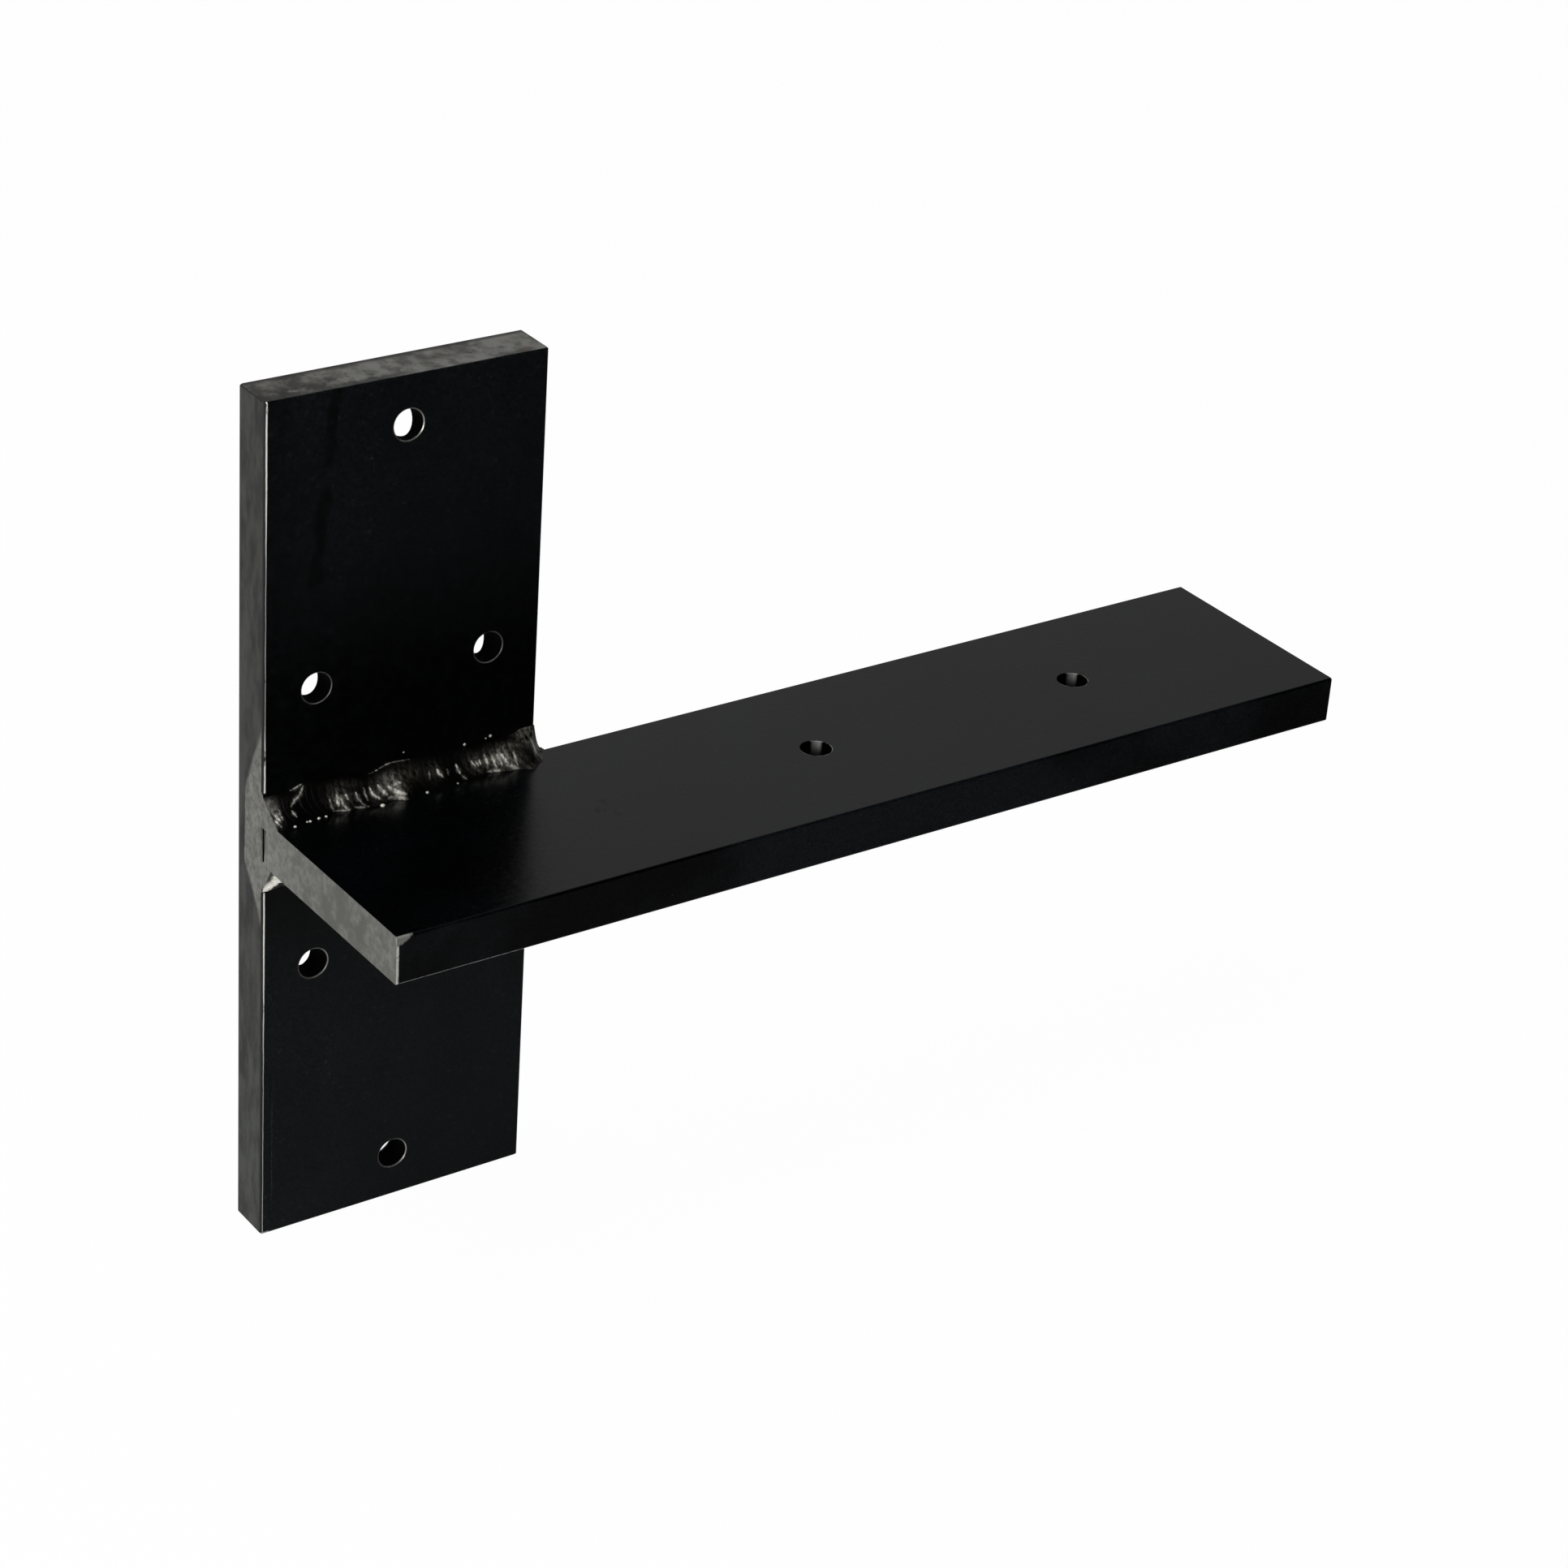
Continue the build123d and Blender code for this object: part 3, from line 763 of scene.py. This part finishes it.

# each streak, bare metal painted bright as a glint: half its width and how bright it is, how far it
# stands up, then its path, as mm along the weld and the share of the way down its face
UPPER_STREAKS = [
    (1.10, 0.11, 0.0, [(-37.3, 0.20), (-36.7, 0.5), (-37.1, 0.75)]),
    (0.30, 0.6, 0.10, [(-37.5, 0.46), (-37.2, 0.62), (-36.5, 0.80)]),
    (0.22, 0.7, 0.05, [(-37.8, 0.62), (-36.9, 0.92)]),
    (0.24, 0.6, 0.25, [(-35.9, 0.42), (-36.0, 0.62), (-35.9, 0.76)]),
    (0.26, 0.5, 0.10, [(-30.9, 0.03), (-29.3, 0.01), (-28.4, 0.01)]),
    (0.30, 0.9, 0.10, [(-28.5, 0.01), (-27.9, 0.02)]),
    (0.28, 0.5, 0.15, [(-27.6, 0.08), (-29.3, 0.26), (-31.2, 0.35), (-32.6, 0.48)]),
    (0.25, 0.7, 0.15, [(-32.9, 0.6), (-32.7, 0.68), (-32.2, 0.79)]),
    (0.25, 0.6, 0.15, [(-22.3, 0.61), (-22.2, 0.84), (-21.7, 0.96)]),
    (0.22, 0.5, 0.05, [(-21.7, 0.96), (-19.5, 0.97), (-18.0, 0.97)]),
    (0.30, 1.0, 0.05, [(-18.5, 0.96), (-17.9, 0.97)]),
    (0.42, 1.0, 0.18, [(-20.3, 0.55), (-20.4, 0.69), (-20.4, 0.85)]),
    (0.30, 0.8, 0.15, [(-19.5, 0.64), (-19.4, 0.83), (-18.4, 0.94)]),
    (0.28, 0.85, 0.15, [(-18.1, 0.54), (-17.8, 0.71)]),
    (0.28, 0.9, 0.18, [(-15.1, 0.54), (-15.1, 0.73), (-14.6, 0.82)]),
    (0.20, 0.45, 0.10, [(-14.6, 0.82), (-14.2, 0.9), (-13.1, 0.98)]),
    (0.20, 0.35, 0.03, [(-16.6, 0.93), (-14.7, 0.97), (-13.0, 0.98)]),
    (0.22, 0.4, 0.12, [(-12.6, 0.45), (-12.9, 0.66), (-12.7, 0.83)]),
    (0.30, 0.9, 0.20, [(-11.1, 0.46), (-11.1, 0.66), (-10.4, 0.77), (-9.7, 0.85)]),
    (0.42, 1.0, 0.22, [(-8.9, 0.46), (-8.4, 0.68), (-7.4, 0.84)]),
    (0.50, 1.0, 0.20, [(-6.7, 0.62), (-5.6, 0.79), (-4.4, 0.86), (-3.0, 0.88)]),
    (0.30, 0.8, 0.12, [(-5.3, 0.66), (-4.6, 0.62), (-3.4, 0.60)]),
    (0.38, 0.8, 0.08, [(-7.4, 0.92), (-5.5, 0.95), (-4.1, 0.95), (-2.7, 0.98)]),
    (0.16, 0.3, 0.06, [(-9.2, 0.01), (-1.5, 0.01), (2.2, 0.02)]),
    (0.20, 0.7, 0.06, [(-7.6, 0.01), (-6.8, 0.01)]),
    (0.20, 0.8, 0.06, [(-4.9, 0.01), (-3.4, 0.01)]),
    (0.34, 0.95, 0.18, [(7.6, 0.5), (7.8, 0.6), (8.4, 0.74)]),
    (0.20, 0.25, 0.10, [(5.5, 0.49), (5.0, 0.68)]),
    (0.20, 0.4, 0.10, [(10.4, 0.56), (10.3, 0.71)]),
    (0.28, 0.9, 0.18, [(13.4, 0.46), (13.3, 0.66), (13.8, 0.78)]),
    (0.20, 0.5, 0.10, [(13.8, 0.78), (14.3, 0.89), (15.1, 0.97)]),
    (0.24, 0.8, 0.12, [(17.6, 0.50), (18.3, 0.71)]),
    (0.24, 0.85, 0.12, [(18.6, 0.53), (19.0, 0.71)]),
    (0.22, 0.7, 0.12, [(19.6, 0.53), (19.7, 0.70)]),
    (0.40, 0.9, 0.18, [(21.5, 0.42), (21.6, 0.65), (21.4, 0.88)]),
    (0.32, 0.85, 0.16, [(23.3, 0.48), (23.5, 0.66), (23.7, 0.9)]),
    (0.34, 1.0, 0.18, [(24.6, 0.49), (25.0, 0.69), (25.2, 0.85)]),
    (0.34, 1.0, 0.18, [(25.5, 0.50), (26.1, 0.71), (26.9, 0.91)]),
    (0.28, 0.8, 0.16, [(29.0, 0.56), (28.8, 0.78), (29.2, 0.92)]),
    (0.34, 0.9, 0.12, [(25.8, 0.84), (27.3, 0.90), (28.8, 0.94)]),
    (0.30, 0.8, 0.05, [(21.0, 0.94), (23.3, 0.96), (25.4, 0.97)]),
    (0.30, 0.8, 0.05, [(27.2, 0.94), (29.4, 0.97)]),
]
# each haze, brown scale with painted sheen: its middle along and across, its half length in mm,
# half breadth and amount
UPPER_HAZE_AND_SHEEN = [
    (-36.6, 0.15, 1.2, 0.2, 0.3), (-19.5, 0.62, 3.0, 0.26, 0.8), (-17.5, 0.28, 4.0, 0.16, 0.25),
    (-5.8, 0.60, 3.4, 0.28, 1.3), (-0.5, 0.42, 3.4, 0.24, 0.5), (6.5, 0.55, 2.5, 0.25, 0.3),
    (19.5, 0.62, 3.0, 0.24, 0.8), (25.6, 0.66, 4.2, 0.28, 1.4), (28.5, 0.36, 5.0, 0.14, 0.6),
    (36.0, 0.20, 3.0, 0.26, 2.4), (38.6, 0.45, 1.6, 0.5, 1.6), (33.8, 0.97, 2.5, 0.1, 0.5),
]
upper_weld = weld_run(
    "upper_weld", 1,
    on_plate=[(-38.1, 5.6), (-31, 6.0), (-27, 7.0), (-18, 6.0), (-9.3, 5.0), (-3, 6.6), (4, 6.2),
              (17.7, 5.6), (25, 5.6), (31, 5.9), (34.5, 6.9), (38.1, 7.0)],
    on_arm=[(-38.1, 6.7), (-33, 6.3), (-28.5, 5.6), (-24, 5.4), (-21.5, 4.7), (-18, 5.7),
            (-13, 6.2), (-9.5, 6.8), (-6, 5.7), (-3, 7.4), (3, 6.2), (8, 6.0), (14, 5.6),
            (19, 5.3), (21.5, 4.9), (28.4, 6.4), (33, 8.0), (36.4, 6.0), (38.1, 4.4)],
    swellings=[(-31, 2.5, 0.2), (-19.5, 3.4, 0.6), (-5, 4.2, 1.1), (8, 3.2, 0.35),
               (20, 2.6, 0.5), (27, 4.5, 1.1)],
    depth=2.6, streaks=UPPER_STREAKS, hazes_and_sheen=UPPER_HAZE_AND_SHEEN,
    pits=[(34.4, 0.28, 0.9), (36.6, 0.24, 0.9), (-38.0, 0.62, 0.5)],
    recess=None, seed=4)
dress(upper_weld, weld_metal)
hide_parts("upper_weld_bead")
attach(upper_weld, "root")


# Lower weld: the same kind of fillet under the arm, wider on the arm than on the plate.
# Only its left end shows in the photo, where the grinder caught half of it and left the rest
# as a bright, torn facet. The crescents farther along are spaced and sized at random.

# the streaks are bare metal painted bright as glints
LOWER_STREAKS = []
for number in range(30):
    random.seed(200 + number)
    start = -34 + number * 2.35 + random.uniform(-0.5, 0.5)
    top, foot = random.uniform(0.3, 0.45), random.uniform(0.65, 0.95)
    path = [(start, top), (start - 0.2, (top + foot) / 2), (start + 0.8, foot)]
    LOWER_STREAKS.append((random.uniform(0.22, 0.42), random.uniform(0.15, 0.75),
                          random.uniform(0.10, 0.20), path))
LOWER_SWELLINGS = [(-26, 4, 0.5), (-12, 4.2, 0.7), (2, 4, 0.5), (14, 4.2, 0.8), (28, 4.5, 0.7)]
lower_weld = weld_run(
    "lower_weld", -1,
    on_plate=[(-38.1, 7.7), (-35, 6.9), (-30, 6.2), (-22, 7.0), (-12, 6.4), (-2, 7.1), (9, 6.4),
              (20, 7.0), (31, 6.5), (38.1, 6.9)],
    on_arm=[(-38.1, 8.2), (-31, 7.2), (-24, 7.9), (-15, 7.1), (-5, 8.0), (6, 7.2), (15, 7.9),
            (27, 7.3), (38.1, 7.6)],
    swellings=LOWER_SWELLINGS, depth=0.9, streaks=LOWER_STREAKS,
    hazes_and_sheen=[(centre, 0.55, width, 0.3, 0.7) for centre, width, _ in LOWER_SWELLINGS],
    pits=[], recess=(-16.3, 0.65), seed=17)
dress(lower_weld, weld_metal)
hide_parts("lower_weld_bead")
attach(lower_weld, "root")


# Weld spatter: pin-head drops of weld metal that froze onto the bars beside the upper weld.
# Nine lie on the arm and four on the plate, each a little flattened and sunk into the bar.

def spatter(name, drops):
    """Drops are (centre in mm, radius in mm, outward axis)."""
    made = bmesh.new()
    bare_and_glint_layer = made.verts.layers.float.new("bare_and_glint")
    for centre, radius, axis in drops:
        new = bmesh.ops.create_icosphere(made, subdivisions=2, radius=radius)["verts"]
        flatten = [1.0, 1.0, 1.0]
        flatten["xyz".index(axis)] = 0.7
        bmesh.ops.scale(made, vec=flatten, verts=new)
        bmesh.ops.translate(made, vec=centre, verts=new)
        for vert in new:
            # bigger drops are painted brighter, bare metal with a glint
            vert[bare_and_glint_layer] = min(1, 2 * radius)
    bmesh.ops.scale(made, vec=(MM, MM, MM), verts=made.verts)
    return finished(name, made)


drops = spatter("weld_spatter", [
    ((-33.3, -20.0, 6.4), 0.42, "z"), ((-29.6, -19.2, 6.38), 0.34, "z"),
    ((-28.8, -19.3, 6.36), 0.42, "z"), ((-26.3, -19.0, 6.4), 0.46, "z"),
    ((-24.3, -19.0, 6.4), 0.40, "z"), ((-10.4, -19.7, 6.38), 0.42, "z"),
    ((-9.6, -20.6, 6.42), 0.62, "z"), ((3.3, -19.9, 6.4), 0.44, "z"),
    ((12.3, -19.3, 6.37), 0.3, "z"), ((0.6, -12.72, 14.8), 0.28, "y"),
    ((17.9, -12.75, 12.7), 0.42, "y"), ((25.3, -12.75, 13.3), 0.44, "y"),
    ((24.0, -12.72, 12.9), 0.26, "y")])
dress(drops, weld_metal)
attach(drops, "root")


# Floor: a pale table top, which the plate's lower end stands on. It is drawn white for the
# camera, with the bracket's soft shadow left on it, and doesn't hide the bracket from below.

FLOOR_GREY = (0.86, 0.86, 0.86, 1)
FLOOR_WHITENESS = 0.98  # the share of plain white, with the shadow in the rest
FLOOR_RADIUS = 8.0


def mixed(tree, part, first, second):
    """The first shader turning into the second as part goes from 0 to 1."""
    node = tree.nodes.new("ShaderNodeMixShader")
    feed(tree, node.inputs[0], part)
    tree.links.new(first, node.inputs[1])
    tree.links.new(second, node.inputs[2])
    return node.outputs[0]


def floor_finish():
    finish, tree, shader = start_finish("pale_floor", Base_Color=FLOOR_GREY, Roughness=0.9)
    path = tree.nodes.new("ShaderNodeLightPath")
    shown = either(tree, path.outputs["Is Camera Ray"], path.outputs["Is Glossy Ray"],
                   path.outputs["Is Transmission Ray"])
    white = tree.nodes.new("ShaderNodeEmission").outputs[0]
    seen = mixed(tree, both(tree, shown, FLOOR_WHITENESS), shader.outputs[0], white)
    from_below = tree.nodes.new("ShaderNodeNewGeometry").outputs["Backfacing"]
    clear = tree.nodes.new("ShaderNodeBsdfTransparent").outputs[0]
    surface = mixed(tree, from_below, seen, clear)
    tree.links.new(surface, tree.nodes["Material Output"].inputs["Surface"])
    return finish


table = bmesh.new()
bmesh.ops.create_circle(table, cap_ends=True, segments=96, radius=FLOOR_RADIUS)
bmesh.ops.translate(table, vec=(0, 0, cad_box[0].z), verts=table.verts)
floor = finished("floor", table)
dress(floor, floor_finish())
floor.visible_glossy = False


# Studio: white behind the bracket, bright to its left and rear, and dark on the camera's side,
# with one soft lamp at the left and one overhead, which metal doesn't mirror.

BRIGHT_SIDE = Vector((-0.6, 0.6, -0.3)).normalized()
BACKDROP = (0.527, 0.7075, -0.470)  # the way that the camera looks
DARK_FROM = 0.75  # how far round to the dark side, as a cosine, the light reaches
SKY_POWER, SKY_STRENGTH = 0.85, 0.58


def agreement(tree, ways, way):
    """How far the ways of the sky's points agree with one way: 1 along it, -1 against it."""
    node = tree.nodes.new("ShaderNodeVectorMath")
    node.operation = "DOT_PRODUCT"
    feed(tree, node.inputs[0], ways)
    node.inputs[1].default_value = way
    return node.outputs["Value"]


def studio():
    world = bpy.data.worlds.new("studio")
    world.use_nodes = True
    tree = world.node_tree
    ways = tree.nodes.new("ShaderNodeTexCoord").outputs["Generated"]
    light = tree.nodes["Background"]
    light.inputs["Color"].default_value = (1, 1, 1, 1)
    climb = sums(tree, "ADD", agreement(tree, ways, BRIGHT_SIDE), DARK_FROM)
    climb = sums(tree, "MAXIMUM", sums(tree, "DIVIDE", climb, 1 + DARK_FROM), 0.0)
    strength = both(tree, sums(tree, "POWER", climb, SKY_POWER), SKY_STRENGTH)
    feed(tree, light.inputs["Strength"], strength)
    white = tree.nodes.new("ShaderNodeBackground")
    white.inputs["Color"].default_value = (1, 1, 1, 1)
    path = tree.nodes.new("ShaderNodeLightPath")
    ahead = share(tree, agreement(tree, ways, BACKDROP), 0.8, 0.95)
    shown = either(tree, path.outputs["Is Camera Ray"], path.outputs["Is Transmission Ray"],
                   both(tree, path.outputs["Is Glossy Ray"], ahead))
    surface = mixed(tree, shown, light.outputs[0], white.outputs[0])
    tree.links.new(surface, tree.nodes["World Output"].inputs["Surface"])
    bpy.context.scene.world = world


def softbox(name, place, aim, size, power, mirrored=True):
    lamp = bpy.data.lights.new(name, "AREA")
    lamp.shape, lamp.size, lamp.energy = "DISK", size, power
    stand = bpy.data.objects.new(name, lamp)
    stand.location = place
    stand.visible_glossy = mirrored
    stand.rotation_euler = (Vector(aim) - Vector(place)).to_track_quat("-Z", "Y").to_euler()
    bpy.context.scene.collection.objects.link(stand)


studio()
softbox("left_softbox", (-0.85, -0.45, 0.25), (0, -0.03, 0), size=0.45, power=3.0)
softbox("overhead_softbox", (-0.3, -0.1, 1.1), (0.05, -0.03, 0), size=0.7, power=9.0,
        mirrored=False)


# Camera: up on the bracket's left front, with its slight tilt kept.

CAMERA_PLACE = Vector((-0.45260, -0.77627, 0.48430))
CAMERA_RIGHT = Vector((0.82007, -0.56864, 0.06431)).normalized()
CAMERA_AHEAD = Vector((0.52748, 0.70752, -0.47030)).normalized()
CAMERA_UP = CAMERA_RIGHT.cross(CAMERA_AHEAD)
CAMERA_LENS, CAMERA_SENSOR = 94.16, 36.0  # in mm
CAMERA_RANGE = 0.01, 50.0

lens = bpy.data.cameras.new("camera")
lens.lens, lens.sensor_width = CAMERA_LENS, CAMERA_SENSOR
lens.clip_start, lens.clip_end = CAMERA_RANGE
camera = bpy.data.objects.new("camera", lens)
turned = Matrix((CAMERA_RIGHT, CAMERA_UP, -CAMERA_AHEAD)).transposed().to_4x4()
camera.matrix_world = Matrix.Translation(CAMERA_PLACE) @ turned
bpy.context.scene.collection.objects.link(camera)
bpy.context.scene.camera = camera
bpy.context.scene.view_settings.view_transform = "Standard"
